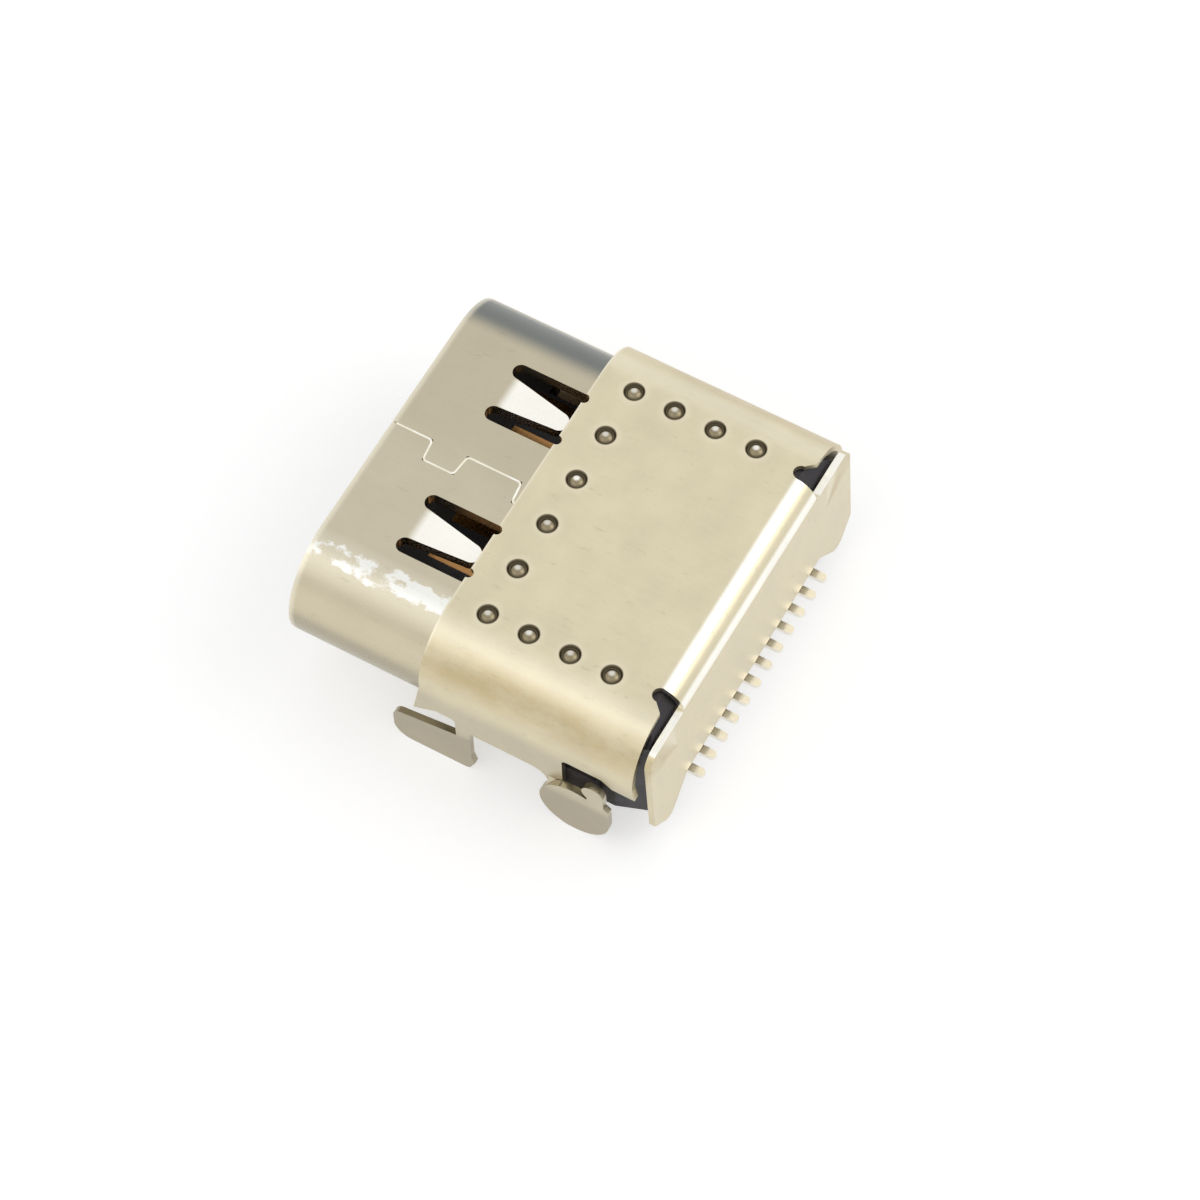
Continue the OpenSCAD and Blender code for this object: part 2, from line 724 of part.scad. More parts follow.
module rear_housing() color([0.16, 0.15, 0.16]) difference() {
    union() {
        housing_plug();
        housing_block();
        housing_cheeks();
        pin_foot();
    }
    // passage for the two inserts
    translate([-block_w / 2 - fit, mouth_depth - eps, mouth_z - block_half - fit])
        cube([block_w + 2 * fit, far, 2 * (block_half + fit)]);
    // open bay behind the inserts where the upper contacts come down
    translate([-tail_bay, insert_back, -eps]) cube([2 * tail_bay, far, mouth_z + block_half]);
    // holes for the pins
    for (i = [1:contact_count])
        translate([contact_x("b", i) - tail_w / 2 - fit, pin_back(i) - contact_t - fit, -eps])
            cube([tail_w + 2 * fit, contact_t + 2 * fit, mouth_z]);
}

mouth_shell();
cover_shell();
rear_housing();
upper_insert();
lower_insert();
tongue_nose();
mid_plate();
ground_plate_top();
ground_plate_bottom();
for (i = [1:contact_count]) {
    contact_a(i);
    contact_b(i);
}
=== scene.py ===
import math

import bpy
import numpy as np
from mathutils import Matrix


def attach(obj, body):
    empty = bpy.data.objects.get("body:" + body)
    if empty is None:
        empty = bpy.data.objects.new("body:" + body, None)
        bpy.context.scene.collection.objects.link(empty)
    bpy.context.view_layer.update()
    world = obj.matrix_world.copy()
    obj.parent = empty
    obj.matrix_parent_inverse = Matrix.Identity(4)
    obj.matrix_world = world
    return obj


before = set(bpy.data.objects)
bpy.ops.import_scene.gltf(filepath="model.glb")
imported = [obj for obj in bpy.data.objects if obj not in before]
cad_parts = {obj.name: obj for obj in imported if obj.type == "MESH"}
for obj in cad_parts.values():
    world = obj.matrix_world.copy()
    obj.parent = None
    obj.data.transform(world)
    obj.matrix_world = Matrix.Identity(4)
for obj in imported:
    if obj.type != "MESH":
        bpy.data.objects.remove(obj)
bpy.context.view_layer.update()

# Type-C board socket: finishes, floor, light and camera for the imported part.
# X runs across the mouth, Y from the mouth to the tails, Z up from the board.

MM = 0.001

# Places on the part that the finishes follow, in millimetres
SHELL_BEND_X, SHELL_MID_Z, SHELL_R = 2.89, 1.68, 1.58
COVER_BEND_X, COVER_BEND_Z = 3.28, 2.01
COVER_TOP = 3.41
FLAP_BEND_Y, FLAP_BEND_Z = 8.27, 2.81
COVER_FRONT = 3.38
WELD_SIDE_X, WELD_FRONT_Y, WELD_PITCH = 3.15, 4.25, 1.00
WELD_ROWS, WELD_ACROSS = 4, 6
GLINT_SHIFT = (-0.035, -0.02)
SEAM_X, KEY_END_X = -0.06, 0.46
KEY_FIRST_Y, KEY_PITCH, KEY_COUNT = 1.00, 2.21, 3
KEY_ROOT, KEY_END = 0.88, 0.76
CREASE_START_Y, CREASE_END_Y, CREASE_Z = 0.10, 7.46, 3.252
CREASE_HALF_WIDTH, CREASE_RISE, CREASE_ROUND = 0.030, 0.012, 0.10
LEG_TIP_Z = -0.80


def srgb(red, green, blue):
    """Linear colour of a screen colour given from 0 to 255."""
    c = np.array([red, green, blue]) / 255.0
    lin = np.where(c <= 0.04045, c / 12.92, ((c + 0.055) / 1.055) ** 2.4)
    return (*[float(v) for v in lin], 1.0)


NICKEL_WARM = srgb(216, 206, 177)
NICKEL_GOLD = srgb(192, 174, 132)
NICKEL_PALE = srgb(240, 234, 214)
NICKEL_LOW_SHADE = srgb(190, 182, 160)
NICKEL_LEG_SHADE = srgb(168, 159, 139)
NICKEL_SHADE = srgb(150, 138, 112)
SHELL_TOP = srgb(192, 183, 160)
SHELL_FLANK_SHADE = srgb(168, 160, 140)
SHELL_DARK_REFLECTION = srgb(112, 117, 117)
BRIGHT = srgb(252, 250, 242)
PATCH_WHITE = srgb(238, 238, 232)
WELD_DARK = srgb(78, 70, 54)
WELD_TINT = srgb(138, 126, 100)
WELD_HALO = srgb(232, 224, 200)
PLASTIC = srgb(50, 45, 50)
PLASTIC_PALE = srgb(84, 78, 82)
TONGUE = srgb(40, 38, 42)
TONGUE_PALE = srgb(70, 68, 72)
TIN = srgb(238, 234, 224)
TIN_SHADE = srgb(158, 152, 140)
GOLD_SHADED = srgb(176, 132, 84)
COPPER = srgb(170, 122, 78)
STEEL = srgb(190, 188, 182)


# ------------------------------------------------------------ node helpers

class Nodes:
    """Short calls that place nodes in one tree and link what each one takes."""

    def __init__(self, tree):
        self.tree = tree

    def group_end(self, side):
        """The sockets inside a group: what it is given (Input) or gives (Output)."""
        node = self.tree.nodes.new("NodeGroup" + side)
        return node.outputs if side == "Input" else node.inputs

    def add(self, kind, **settings):
        """A shader node with its settings."""
        node = self.tree.nodes.new("ShaderNode" + kind)
        for name, value in settings.items():
            setattr(node, name, value)
        return node

    def feed(self, socket, value):
        """Links a socket to another one, or writes a plain value in it."""
        if isinstance(value, bpy.types.NodeSocket):
            self.tree.links.new(value, socket)
        elif value is not None:
            socket.default_value = value

    def math(self, operation, a, b=None, c=None):
        node = self.add("Math", operation=operation)
        for socket, value in zip(node.inputs, (a, b, c)):
            self.feed(socket, value)
        return node.outputs[0]

    def step(self, value, low, high, start=0.0, end=1.0):
        """Goes smoothly from start to end while value goes from low to high."""
        node = self.add("MapRange", interpolation_type="SMOOTHSTEP", clamp=True)
        for socket, given in zip(node.inputs, (value, low, high, start, end)):
            self.feed(socket, given)
        return node.outputs[0]

    def mix(self, amount, a, b, blend="MIX"):
        node = self.add("Mix", data_type="RGBA", blend_type=blend)
        self.feed(node.inputs[0], amount)
        self.feed(node.inputs[6], a)
        self.feed(node.inputs[7], b)
        return node.outputs[2]

    def noise(self, vector, scale, detail=3.0, rough=0.55):
        node = self.add("TexNoise")
        self.feed(node.inputs["Vector"], vector)
        self.feed(node.inputs["Scale"], scale)
        self.feed(node.inputs["Detail"], detail)
        self.feed(node.inputs["Roughness"], rough)
        return node.outputs["Fac"]

    def stretch(self, vector, x, y, z):
        node = self.add("VectorMath", operation="MULTIPLY")
        self.feed(node.inputs[0], vector)
        self.feed(node.inputs[1], (x, y, z))
        return node.outputs[0]

    def split(self, vector):
        node = self.add("SeparateXYZ")
        self.feed(node.inputs[0], vector)
        return node.outputs

    def group(self, tree, **values):
        node = self.add("Group")
        node.node_tree = tree
        for name, value in values.items():
            self.feed(node.inputs[name.replace("_", " ")], value)
        return node.outputs


def new_group(name, inputs, outputs):
    """An empty node group with named inputs and outputs, and its helper."""
    tree = bpy.data.node_groups.new(name, "ShaderNodeTree")
    for label, kind, value in inputs:
        socket = tree.interface.new_socket(label, in_out="INPUT", socket_type=kind)
        if value is not None:
            socket.default_value = value
    for label, kind in outputs:
        tree.interface.new_socket(label, in_out="OUTPUT", socket_type=kind)
    nodes = Nodes(tree)
    return tree, nodes, nodes.group_end("Input"), nodes.group_end("Output")


FLOAT, VECTOR, COLOUR = "NodeSocketFloat", "NodeSocketVector", "NodeSocketColor"


def build_ridge():
    """Mask that is 1 where Value meets Centre and falls smoothly to 0 at Reach."""
    tree, n, given, out = new_group("ridge", [
        ("Value", FLOAT, 0.0), ("Centre", FLOAT, 0.0), ("Core", FLOAT, 0.0), ("Reach", FLOAT, 1.0)],
        [("Mask", FLOAT)])
    away = n.math("ABSOLUTE", n.math("SUBTRACT", given["Value"], given["Centre"]))
    n.feed(out["Mask"], n.step(away, given["Core"], given["Reach"], 1.0, 0.0))
    return tree


def build_rolled_sheet():
    """Rolled and plated sheet: cloudy tone, fine streaks along the roll, specks and handling marks."""
    tree, n, given, out = new_group("rolled sheet", [
        ("Place", VECTOR, None), ("Colour", COLOUR, None), ("Cloud", FLOAT, 0.10),
        ("Streaks", FLOAT, 0.06), ("Marks", FLOAT, 0.15), ("Gloss", FLOAT, 0.30)],
        [("Colour", COLOUR), ("Roughness", FLOAT), ("Height", FLOAT)])
    place = given["Place"]
    cloud = n.noise(place, 0.9, 4.0, 0.6)
    streak = n.noise(n.stretch(place, 14.0, 0.8, 14.0), 1.0, 2.0)
    grain = n.noise(place, 26.0, 2.0)
    marks = n.step(n.noise(n.stretch(place, 5.0, 1.4, 5.0), 1.3, 5.0, 0.7), 0.60, 0.72)
    shade = n.math("MULTIPLY_ADD", n.math("SUBTRACT", cloud, 0.5), given["Cloud"], 1.0)
    shade = n.math("MULTIPLY_ADD", n.math("SUBTRACT", streak, 0.5), given["Streaks"], shade)
    shade = n.math("MULTIPLY_ADD", n.math("SUBTRACT", grain, 0.5), 0.06, shade)
    shade = n.math("MULTIPLY_ADD", n.math("MULTIPLY", marks, given["Marks"]), -1.0, shade)
    tint = n.add("CombineColor")
    for socket in tint.inputs[:3]:
        n.feed(socket, shade)
    n.feed(out["Colour"], n.mix(1.0, given["Colour"], tint.outputs[0], "MULTIPLY"))
    rough = n.math("MULTIPLY_ADD", cloud, 0.14, given["Gloss"])
    n.feed(out["Roughness"], n.math("MULTIPLY_ADD", marks, 0.10, rough))
    n.feed(out["Height"], n.math("MULTIPLY_ADD", streak, 0.5, grain))
    return tree


def build_bright_patches():
    """Ragged bright patches inside the mask given as Where; Amount sets how much of it they cover."""
    tree, n, given, out = new_group("bright patches", [
        ("Place", VECTOR, None), ("Where", FLOAT, 1.0), ("Amount", FLOAT, 0.5)], [("Mask", FLOAT)])
    ragged = n.noise(n.stretch(given["Place"], 1.6, 1.1, 1.6), 1.5, 5.0, 0.6)
    level = n.math("SUBTRACT", 1.0, n.math("MULTIPLY", given["Where"], given["Amount"]))
    edge = n.math("ADD", level, 0.09)
    n.feed(out["Mask"], n.step(ragged, level, edge))
    return tree


def build_moulded():
    """Moulded plastic: fine spark texture, a faint flow cloud and paler rubbed spots."""
    tree, n, given, out = new_group("moulded plastic", [
        ("Place", VECTOR, None), ("Colour", COLOUR, None), ("Rubbed", COLOUR, None)],
        [("Colour", COLOUR), ("Roughness", FLOAT), ("Height", FLOAT)])
    grain = n.noise(given["Place"], 18.0, 3.0)
    cloud = n.noise(given["Place"], 1.2, 3.0)
    rub = n.step(n.noise(given["Place"], 3.0, 5.0, 0.65), 0.52, 0.72, 0.0, 0.5)
    n.feed(out["Colour"], n.mix(rub, given["Colour"], given["Rubbed"]))
    n.feed(out["Roughness"], n.math("MULTIPLY_ADD", cloud, 0.2, 0.38))
    n.feed(out["Height"], grain)
    return tree


RIDGE = build_ridge()
ROLLED = build_rolled_sheet()
BRIGHT_PATCHES = build_bright_patches()
MOULDED = build_moulded()


def start_material(name, metallic, plain_colour):
    """A material with its shader, and the place on the part in millimetres.
    plain_colour is what a viewport without shading shows."""
    material = bpy.data.materials.new(name)
    material.use_nodes = True
    material.diffuse_color = plain_colour
    nodes = Nodes(material.node_tree)
    shader = material.node_tree.nodes["Principled BSDF"]
    shader.inputs["Metallic"].default_value = metallic
    place = nodes.stretch(nodes.add("TexCoord").outputs["Object"], 1000.0, 1000.0, 1000.0)
    return material, nodes, shader, place


def finish_with(nodes, shader, colour, roughness, height, depth):
    """Feeds the shader; depth is the height of the fine relief in metres."""
    nodes.feed(shader.inputs["Base Color"], colour)
    nodes.feed(shader.inputs["Roughness"], roughness)
    if height is not None:
        bump = nodes.add("Bump")
        bump.inputs["Strength"].default_value = 0.5
        bump.inputs["Distance"].default_value = depth
        nodes.feed(bump.inputs["Height"], height)
        nodes.feed(shader.inputs["Normal"], bump.outputs["Normal"])


# ---------------------------------------------------------------- finishes

def cover_finish():
    """Warm satin nickel: golden in a mottled band where the side corners are bent, with a painted
    sheen above it, painted highlights along the rear bend and the flap's ears, painted shade on the
    lower walls and the legs, heat-tinted at the weld spots with a painted glint on each."""
    material, n, shader, place = start_material("cover nickel", 1.0, NICKEL_WARM)
    x, y, z = n.split(place)
    side = n.math("ABSOLUTE", x)

    # angle round the side corners: 0 on the wall, a quarter turn on the top
    corner = n.math("ARCTAN2", n.math("SUBTRACT", z, COVER_BEND_Z),
                    n.math("SUBTRACT", side, COVER_BEND_X))
    beyond = n.step(side, COVER_BEND_X - 0.15, COVER_BEND_X + 0.15)
    # a golden band round the side corners, mottled by noise
    gold = n.math("MULTIPLY", beyond, n.group(
        RIDGE, Value=corner, Centre=0.62, Core=0.05, Reach=0.55)["Mask"])
    # painted sheen: a pale band higher round the side corners
    sheen = n.math("MULTIPLY", beyond, n.group(
        RIDGE, Value=corner, Centre=1.22, Core=0.05, Reach=0.35)["Mask"])
    along = n.stretch(place, 1.0, 0.45, 1.0)
    gold_mottle = n.step(n.noise(along, 1.6, 4.0, 0.65), 0.30, 0.68, 0.35, 1.0)
    gold = n.math("MULTIPLY", gold, n.math("MULTIPLY", gold_mottle, 0.8))
    colour = n.mix(gold, NICKEL_WARM, NICKEL_GOLD)
    colour = n.mix(n.math("MULTIPLY", sheen, 0.35), colour, NICKEL_PALE)
    # painted shade: the lower side walls are greyer
    low_wall_shade = n.math("MULTIPLY", n.step(side, 4.4, 4.55), n.step(z, 2.1, 1.5))
    colour = n.mix(n.math("MULTIPLY", low_wall_shade, 0.7), colour, NICKEL_LOW_SHADE)

    # painted shade on the legs
    legs = n.math("MULTIPLY", n.step(side, 4.4, 4.52), n.step(z, 0.72, 0.35))
    colour = n.mix(n.math("MULTIPLY", legs, 0.8), colour, NICKEL_LEG_SHADE)

    # painted highlights: two bright bands along the rear bend
    bend = n.math("ARCTAN2", n.math("SUBTRACT", z, FLAP_BEND_Z),
                  n.math("SUBTRACT", y, FLAP_BEND_Y))
    behind = n.math("MULTIPLY", n.step(y, FLAP_BEND_Y - 0.10, FLAP_BEND_Y),
                    n.step(side, 2.97, 2.90))
    for centre, amount in ((1.28, 0.9), (0.42, 0.95)):
        band = n.group(RIDGE, Value=bend, Centre=centre, Core=0.10, Reach=0.26)["Mask"]
        colour = n.mix(n.math("MULTIPLY", n.math("MULTIPLY", band, behind), amount), colour, BRIGHT)

    # painted highlight on the flap's sheared top edges beside the bend
    on_flap = n.step(y, FLAP_BEND_Y + 0.40, FLAP_BEND_Y + 0.44)
    ears = n.math("MULTIPLY", n.step(side, 2.97, 3.05),
                  n.math("MULTIPLY", n.step(z, 2.90, 2.94), on_flap))
    colour = n.mix(n.math("MULTIPLY", ears, 0.9), colour, BRIGHT)

    # heat tint at each weld spot: a dark groove round a tinted bead and a pale halo outside,
    # with a painted highlight as a glint on the bead
    top = n.step(z, COVER_TOP - 0.12, COVER_TOP - 0.08)
    ring = nearest_spot(n, x, y, 0.0, 0.0)
    glint_away = nearest_spot(n, x, y, *GLINT_SHIFT)
    haze = n.math("MULTIPLY", top, n.step(ring, 0.24, 0.42, 0.40, 0.0))
    colour = n.mix(haze, colour, WELD_HALO)
    bead = n.math("MULTIPLY", top, n.step(ring, 0.215, 0.255, 0.95, 0.0))
    colour = n.mix(bead, colour, WELD_TINT)
    groove = n.group(RIDGE, Value=ring, Centre=0.19, Core=0.015, Reach=0.075)["Mask"]
    colour = n.mix(n.math("MULTIPLY", groove, n.math("MULTIPLY", top, 0.9)), colour, WELD_DARK)
    shine = n.step(n.noise(place, 0.8, 1.0), 0.40, 0.60, 0.60, 1.0)
    glint = n.math("MULTIPLY", n.step(glint_away, 0.035, 0.10, 0.95, 0.0),
                   n.math("MULTIPLY", top, shine))
    colour = n.mix(glint, colour, BRIGHT)

    # the front edge catches the light where it was sheared
    edge = n.group(RIDGE, Value=y, Centre=COVER_FRONT, Core=0.02, Reach=0.07)["Mask"]
    colour = n.mix(n.math("MULTIPLY", edge, n.step(z, 2.6, 3.2, 0.0, 0.45)), colour, NICKEL_PALE)

    sheet = n.group(ROLLED, Place=place, Colour=colour,
                    Cloud=0.24, Streaks=0.06, Marks=0.12, Gloss=0.24)
    finish_with(n, shader, sheet["Colour"], sheet["Roughness"], sheet["Height"], 0.000004)
    return material


def nearest_spot(n, x, y, shift_x, shift_y):
    """Distance to the nearest weld spot's middle, moved by the two shifts."""
    nearest = None
    for spot_x, spot_y in weld_spots():
        dx = n.math("SUBTRACT", x, spot_x + shift_x)
        dy = n.math("SUBTRACT", y, spot_y + shift_y)
        away = n.math("SQRT", n.math("ADD", n.math("MULTIPLY", dx, dx), n.math("MULTIPLY", dy, dy)))
        nearest = away if nearest is None else n.math("MINIMUM", nearest, away)
    return nearest


def weld_spots():
    """Places of the weld spots on the top: a row down each side and one across the front."""
    spots = [(s * WELD_SIDE_X, WELD_FRONT_Y + k * WELD_PITCH)
             for k in range(WELD_ROWS) for s in (-1, 1)]
    step = 2 * WELD_SIDE_X / (WELD_ACROSS - 1)
    return spots + [(k * step - WELD_SIDE_X, WELD_FRONT_Y) for k in range(1, WELD_ACROSS - 1)]


def shell_finish():
    """Nickel on the thick mouth shell: even on top, painted shade on the flanks, a painted warm
    reflection and a painted sheen with ragged bright patches on the near bend, a painted cold dark
    reflection band round the other bend, painted shade inside the mouth and painted highlight on the
    spring tabs."""
    material, n, shader, place = start_material("mouth nickel", 1.0, SHELL_TOP)
    x, y, z = n.split(place)
    up = n.math("SUBTRACT", z, SHELL_MID_Z)
    side = n.math("ABSOLUTE", x)
    out = n.math("MAXIMUM", n.math("SUBTRACT", side, SHELL_BEND_X), 0.0)
    angle = n.math("ARCTAN2", up, out)
    near = n.step(x, -0.5, 0.5)
    far = n.math("SUBTRACT", 1.0, near)

    # painted shade on the flanks and underside
    flank = n.step(angle, 0.55, 0.05)
    colour = n.mix(n.math("MULTIPLY", flank, 0.7), SHELL_TOP, SHELL_FLANK_SHADE)
    # painted reflection: a cold dark band round the far bend
    far_dark_reflection = n.group(RIDGE, Value=angle, Centre=1.02, Core=0.16, Reach=0.52)["Mask"]
    colour = n.mix(n.math("MULTIPLY", n.math("MULTIPLY", far_dark_reflection, far), 0.92), colour, SHELL_DARK_REFLECTION)
    # painted reflection: a warm pale band low on the near bend
    warm = n.group(RIDGE, Value=angle, Centre=0.45, Core=0.12, Reach=0.40)["Mask"]
    colour = n.mix(n.math("MULTIPLY", n.math("MULTIPLY", warm, near), 0.6), colour, NICKEL_WARM)
    # painted sheen: a pale band along the near crest; ragged bright patches lie within it
    crest = n.group(RIDGE, Value=angle, Centre=1.26, Core=0.08, Reach=0.44)["Mask"]
    patches = n.group(BRIGHT_PATCHES, Place=place, Where=n.math("MULTIPLY", crest, near), Amount=0.59)["Mask"]
    colour = n.mix(n.math("MULTIPLY", n.math("MULTIPLY", crest, near), 0.35), colour, NICKEL_PALE)
    colour = n.mix(patches, colour, PATCH_WHITE)

    reach = n.math("SQRT", n.math("ADD", n.math("POWER", out, 2.0), n.math("POWER", up, 2.0)))
    inner = n.step(reach, 1.40, 1.30)
    colour = n.mix(n.math("MULTIPLY", inner, 0.55), colour, NICKEL_SHADE)
    lip = n.step(y, 0.16, 0.02)
    colour = n.mix(n.math("MULTIPLY", lip, 0.6), colour, NICKEL_PALE)

    # the spring tabs are bent down from their roots; painted highlight on their tops
    tab = n.group(RIDGE, Value=side, Centre=1.88, Core=0.36, Reach=0.42)["Mask"]
    tab = n.math("MULTIPLY", tab, n.math("MULTIPLY", n.step(y, 1.70, 1.95), n.step(up, 1.2, 1.3)))
    colour = n.mix(n.math("MULTIPLY", tab, 0.9), colour, BRIGHT)

    sheet = n.group(ROLLED, Place=place, Colour=colour,
                    Cloud=0.12, Streaks=0.05, Marks=0.10, Gloss=0.20)
    finish_with(n, shader, sheet["Colour"], sheet["Roughness"], sheet["Height"], 0.000004)
    return material


def plastic_finish(name, colour, rubbed):
    """Black glass-filled moulding."""
    material, n, shader, place = start_material(name, 0.0, colour)
    skin = n.group(MOULDED, Place=place, Colour=colour, Rubbed=rubbed)
    finish_with(n, shader, skin["Colour"], skin["Roughness"], skin["Height"], 0.000006)
    return material


def contact_finish():
    """Gold, toned down as painted shade, on the pads in the mouth, bright tin on the tails, painted
    shade on the tin that goes down behind the inserts, and bare copper at the cut ends of the pins."""
    material, n, shader, place = start_material("contact plating", 1.0, TIN)
    _, y, z = n.split(place)
    # the gold is the pads' own colour, darkened as painted shade inside the mouth
    colour = n.mix(n.step(y, 5.6, 5.2), TIN, GOLD_SHADED)
    # painted shade on the pins that go down behind the inserts
    shade = n.step(z, 0.14, 0.30, 0.0, 0.6)
    colour = n.mix(n.math("MULTIPLY", shade, n.step(y, 5.2, 5.6)), colour, TIN_SHADE)
    cut = n.step(z, -0.60, -0.66)
    colour = n.mix(cut, colour, COPPER)
    sheet = n.group(ROLLED, Place=place, Colour=colour,
                    Cloud=0.20, Streaks=0.10, Marks=0.10, Gloss=0.18)
    finish_with(n, shader, sheet["Colour"], sheet["Roughness"], sheet["Height"], 0.000003)
    return material


def steel_finish():
    """Bare stainless strip for the ground plates and the plate in the tongue."""
    material, n, shader, place = start_material("stainless strip", 1.0, STEEL)
    _, y, _ = n.split(place)
    colour = n.mix(n.step(y, 4.2, 6.2, 0.0, 0.35), STEEL, NICKEL_SHADE)
    sheet = n.group(ROLLED, Place=place, Colour=colour,
                    Cloud=0.10, Streaks=0.22, Marks=0.08, Gloss=0.22)
    finish_with(n, shader, sheet["Colour"], sheet["Roughness"], sheet["Height"], 0.000003)
    return material


def dress_nodes():
    """Gives every node of the part its finish."""
    housing = plastic_finish("housing plastic", PLASTIC, PLASTIC_PALE)
    tongue = plastic_finish("tongue plastic", TONGUE, TONGUE_PALE)
    steel = steel_finish()
    finishes = {"mouth_shell": shell_finish(), "cover_shell": cover_finish(),
                "rear_housing": housing,
                "upper_insert": tongue, "lower_insert": tongue, "tongue_nose": tongue,
                "mid_plate": steel, "ground_plate_top": steel, "ground_plate_bottom": steel}
    contact = contact_finish()
    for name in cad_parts:
        piece = bpy.data.objects[name]
        material = finishes.get(name, contact)
        for slot in piece.material_slots:
            slot.material = material


# -------------------------------------------------------------- seam crease

def rounded_route(corners, radius, steps):
    """The broken line through corners, with each inner corner c turned into a quadratic curve:
    p(t) = (1-t)^2 a + 2t(1-t) c + t^2 b, where a and b lie on the lines at radius from c."""
    t = np.linspace(0.0, 1.0, steps)[:, None]
    route = [corners[:1]]
    for before, corner, after in zip(corners[:-2], corners[1:-1], corners[2:]):
        a = corner + radius * (before - corner) / np.linalg.norm(before - corner)
        b = corner + radius * (after - corner) / np.linalg.norm(after - corner)
        route.append((1 - t) ** 2 * a + 2 * t * (1 - t) * corner + t ** 2 * b)
    route.append(corners[-1:])
    return np.concatenate(route)


def swept_bead(name, route, half_width, rise, level, around):
    """A closed elliptical bead along a route in XY: across the route the surface is
    width = half_width cos(u), height = level + rise sin(u), for u round a full turn."""
    ahead = np.gradient(route, axis=0)
    ahead /= np.linalg.norm(ahead, axis=1)[:, None]
    left = np.stack([-ahead[:, 1], ahead[:, 0]], axis=1)
    u = np.linspace(0.0, 2 * np.pi, around, endpoint=False)
    flat = route[:, None, :] + half_width * np.cos(u)[None, :, None] * left[:, None, :]
    high = np.broadcast_to(level + rise * np.sin(u), flat.shape[:2])
    points = np.concatenate([flat, high[:, :, None]], axis=2).reshape(-1, 3) * MM
    i, j = np.meshgrid(np.arange(len(route) - 1), np.arange(around), indexing="ij")
    a, b = i * around + j, i * around + (j + 1) % around
    faces = np.stack([a, b, b + around, a + around], axis=-1).reshape(-1, 4)
    caps = [list(range(around))[::-1], list(range((len(route) - 1) * around, len(route) * around))]
    mesh = bpy.data.meshes.new(name)
    mesh.from_pydata(points.tolist(), [], faces.tolist() + caps)
    mesh.update()
    piece = bpy.data.objects.new(name, mesh)
    bpy.context.scene.collection.objects.link(piece)
    return piece


def add_seam_crease():
    """The pressed edges of the seam: a fine pale bead that fills the open line, with painted highlight
    along it.
    """
    taper = (KEY_ROOT - KEY_END) / 2
    corners = [(SEAM_X, CREASE_START_Y)]
    for k in range(KEY_COUNT):
        y = KEY_FIRST_Y + k * KEY_PITCH
        corners += [(SEAM_X, y), (KEY_END_X, y + taper),
                    (KEY_END_X, y + KEY_ROOT - taper), (SEAM_X, y + KEY_ROOT)]
    corners.append((SEAM_X, CREASE_END_Y))
    route = rounded_route(np.array(corners), CREASE_ROUND, 7)
    crease = swept_bead("seam_crease", route, CREASE_HALF_WIDTH, CREASE_RISE, CREASE_Z, 10)
    material, n, shader, place = start_material("seam crease", 1.0, NICKEL_PALE)
    # painted highlight in patches along the crease
    glow = n.step(n.noise(place, 2.2, 3.0), 0.42, 0.62)
    colour = n.mix(glow, NICKEL_PALE, BRIGHT)
    sheet = n.group(ROLLED, Place=place, Colour=colour, Cloud=0.2, Streaks=0.1, Marks=0.2, Gloss=0.2)
    finish_with(n, shader, sheet["Colour"], sheet["Roughness"], None, 0.0)
    crease.data.materials.append(material)
    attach(crease, "root")


# ----------------------------------------------------------- floor and light

def floor_mesh(name, half, level, count):
    """A flat square grid: x and y run evenly from -half to half, z is level."""
    line = np.linspace(-half, half, count)
    gx, gy = np.meshgrid(line, line, indexing="ij")
    points = np.stack([gx.ravel(), gy.ravel(), np.full(gx.size, level)], axis=1)
    i, j = np.meshgrid(np.arange(count - 1), np.arange(count - 1), indexing="ij")
    first = (i * count + j).ravel()
    faces = np.stack([first, first + count, first + count + 1, first + 1], axis=1)
    mesh = bpy.data.meshes.new(name)
    mesh.from_pydata(points.tolist(), [], faces.tolist())
    mesh.update()
    return mesh


def add_floor():
    """Pale floor under the leg tips, white to the eye, with the part's soft shadow on it."""
    floor = bpy.data.objects.new("floor", floor_mesh("floor", 0.6, (LEG_TIP_Z - 0.002) * MM, 3))
    bpy.context.scene.collection.objects.link(floor)
    material = bpy.data.materials.new("white table")
    material.use_nodes = True
    n = Nodes(material.node_tree)
    material.node_tree.nodes.remove(material.node_tree.nodes["Principled BSDF"])
    output = material.node_tree.nodes["Material Output"]
    paint = n.add("BsdfDiffuse")
    paint.inputs["Color"].default_value = (0.80, 0.80, 0.80, 1.0)
    glow = n.add("Emission")
    seen = seen_rays(n)
    n.feed(glow.inputs["Strength"], n.math("MULTIPLY", seen, 0.55))
    total = n.add("AddShader")
    n.feed(total.inputs[0], paint.outputs[0])
    n.feed(total.inputs[1], glow.outputs[0])
    n.feed(output.inputs["Surface"], total.outputs[0])
    floor.data.materials.append(material)


def seen_rays(n):
    """1 for rays that show the background: from the camera, by reflection or through glass."""
    path = n.add("LightPath")
    seen = n.math("MAXIMUM", path.outputs["Is Camera Ray"], path.outputs["Is Glossy Ray"])
    return n.math("MAXIMUM", seen, path.outputs["Is Transmission Ray"])


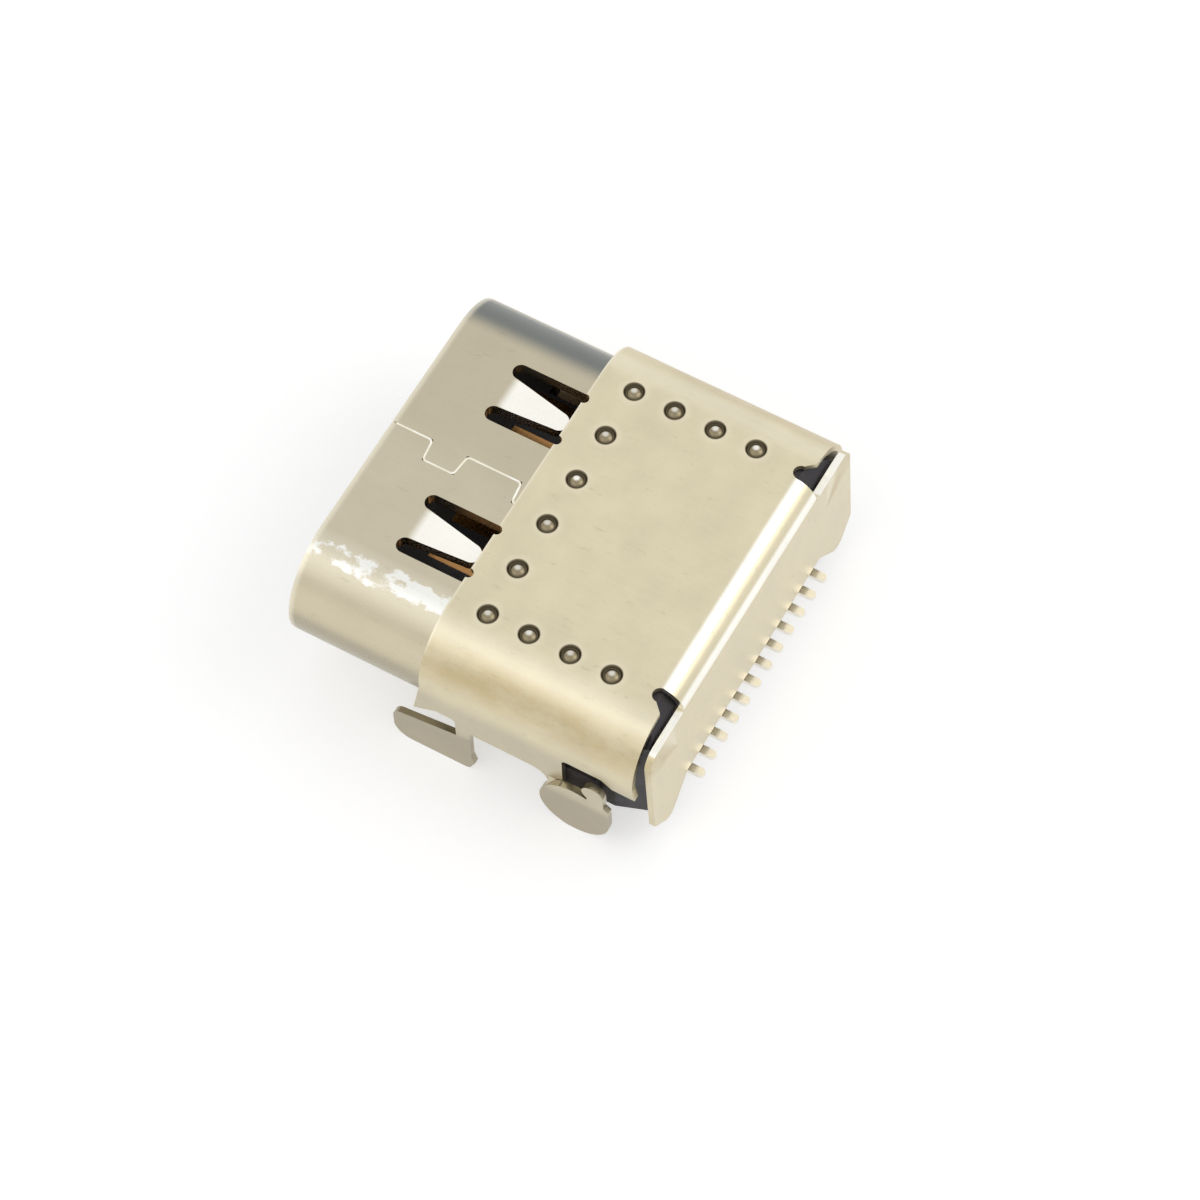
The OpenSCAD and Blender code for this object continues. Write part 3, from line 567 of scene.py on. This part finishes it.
def add_world():
    world = bpy.data.worlds.new("studio")
    bpy.context.scene.world = world
    world.use_nodes = True
    n = Nodes(world.node_tree)
    back = world.node_tree.nodes["Background"]
    back.inputs["Color"].default_value = (1.0, 1.0, 1.0, 1.0)
    n.feed(back.inputs["Strength"], n.math("MULTIPLY_ADD", seen_rays(n), 0.5, 0.5))


def add_lamp(name, place, size, power, aim=(0.0, 4.5, 1.5)):
    """A soft square lamp at place, turned to aim; both in millimetres."""
    data = bpy.data.lights.new(name, "AREA")
    data.size = size * MM
    data.energy = power
    lamp = bpy.data.objects.new(name, data)
    back = np.array(place, float) - np.array(aim, float)
    back /= np.linalg.norm(back)
    right = np.cross([0.0, 0.0, 1.0], back)
    right /= np.linalg.norm(right)
    m = np.eye(4)
    m[:3, 0], m[:3, 1], m[:3, 2] = right, np.cross(back, right), back
    m[:3, 3] = np.array(place, float) * MM
    lamp.matrix_world = Matrix(m.tolist())
    bpy.context.scene.collection.objects.link(lamp)


def add_camera():
    """A long lens high behind the part's +X rear corner."""
    az, el, roll = (math.radians(a) for a in (121.331, 60.432, -2.095))
    back = np.array([math.sin(az) * math.cos(el), -math.cos(az) * math.cos(el), math.sin(el)])
    level = np.cross(-back, [0.0, 0.0, 1.0])
    level /= np.linalg.norm(level)
    rise = np.cross(level, -back)
    m = np.eye(4)
    m[:3, 0] = math.cos(roll) * level + math.sin(roll) * rise
    m[:3, 1] = math.cos(roll) * rise - math.sin(roll) * level
    m[:3, 2] = back
    m[:3, 3] = np.array([44.016, 31.904, 90.705]) * MM
    data = bpy.data.cameras.new("camera")
    data.sensor_width = 36.0
    data.lens = 142.88
    data.clip_start, data.clip_end = 0.005, 10.0
    camera = bpy.data.objects.new("camera", data)
    camera.matrix_world = Matrix(m.tolist())
    bpy.context.scene.collection.objects.link(camera)
    bpy.context.scene.camera = camera


dress_nodes()
add_seam_crease()
add_floor()
add_world()
add_lamp("key lamp", (-60.0, 90.0, 110.0), 90.0, 0.030)
add_lamp("fill lamp", (90.0, -60.0, 120.0), 120.0, 0.015)
add_camera()
bpy.context.scene.view_settings.view_transform = "Standard"
